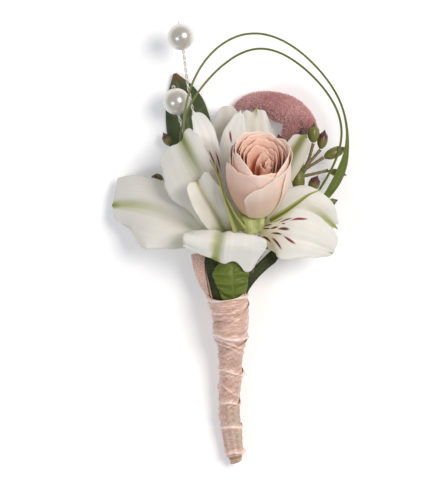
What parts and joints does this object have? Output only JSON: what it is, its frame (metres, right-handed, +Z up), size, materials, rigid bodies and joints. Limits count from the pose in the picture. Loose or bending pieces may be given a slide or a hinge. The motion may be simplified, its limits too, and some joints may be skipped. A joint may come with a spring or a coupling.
{
  "type": "boutonniere",
  "caption": "Boutonniere: white alstroemeria florets and a blush spray rose with cockscomb, eucalyptus, looped bear grass and wired pearls, its stems bound in ribbon",
  "frame": {"origin": "centre of the bounding box's footprint, on the table that the boutonniere lies on", "axes": "+Y along the handle towards the flowers, +Z up out of the flowers' faces, +X to the right of someone who looks down at them with the handle towards themselves"},
  "size_m": [0.0722, 0.1332, 0.0426],
  "materials": {
    "tepal": "satin petal",
    "pistil": "matte",
    "rose_outer": "satin petal",
    "rose_inner": "satin petal",
    "rose_green": "waxy",
    "stem": "waxy",
    "cockscomb": "velvet",
    "dark_leaf": "waxy",
    "collar_leaf": "waxy",
    "twig": "bark",
    "bud": "waxy",
    "grass": "waxy",
    "pearl": "pearl lustre",
    "wire": "bright drawn wire",
    "floral_tape": "crepe",
    "ribbon": "satin"
  },
  "bodies": {
    "root": {"alstroemeria_stem_left": "stem", "alstroemeria_stem_right": "stem", "bear_grass_inner": "grass", "bear_grass_outer": "grass", "cockscomb_crest": "cockscomb", "cockscomb_stem": "stem", "collar_leaf_front": "collar_leaf", "collar_leaf_left": "dark_leaf", "collar_leaf_right": "dark_leaf", "eucalyptus_bud_left_1": "bud", "eucalyptus_bud_left_2": "bud", "eucalyptus_bud_right_1": "bud", "eucalyptus_bud_right_2": "bud", "eucalyptus_bud_right_3": "bud", "eucalyptus_bud_right_4": "bud", "eucalyptus_bud_right_5": "bud", "eucalyptus_bud_right_6": "bud", "eucalyptus_bud_right_7": "bud", "eucalyptus_bud_right_8": "bud", "eucalyptus_bud_right_9": "bud", "eucalyptus_twig_left": "twig", "eucalyptus_twig_right": "twig", "floral_tape": "floral_tape", "floret_left_pistil": "pistil", "floret_left_tepal_inner_back": "tepal", "floret_left_tepal_inner_front": "tepal", "floret_left_tepal_inner_top": "tepal", "floret_left_tepal_outer_back": "tepal", "floret_left_tepal_outer_front": "tepal", "floret_left_tepal_outer_left": "tepal", "floret_right_pistil": "pistil", "floret_right_tepal_inner_right": "tepal", "floret_right_tepal_inner_top_left": "tepal", "floret_right_tepal_inner_top_right": "tepal", "floret_right_tepal_outer_bottom": "tepal", "floret_right_tepal_outer_right": "tepal", "floret_right_tepal_outer_top": "tepal", "pearl_lower": "pearl", "pearl_upper": "pearl", "pearl_wire_lower": "wire", "pearl_wire_upper": "wire", "red_tipped_leaf": "dark_leaf", "ribbon_tail": "ribbon", "ribbon_wrap": "ribbon", "rose_core": "rose_inner", "rose_hip": "rose_green", "rose_petal_inner_1": "rose_inner", "rose_petal_inner_2": "rose_inner", "rose_petal_inner_3": "rose_inner", "rose_petal_middle_1": "rose_outer", "rose_petal_middle_2": "rose_outer", "rose_petal_middle_3": "rose_outer", "rose_petal_outer_1": "rose_outer", "rose_petal_outer_2": "rose_outer", "rose_petal_outer_3": "rose_outer", "rose_petal_outer_4": "rose_outer", "rose_petal_outer_5": "rose_outer", "rose_sepal_left": "rose_green", "rose_sepal_right": "rose_green", "rose_stem": "stem"}
  },
  "joints": []
}
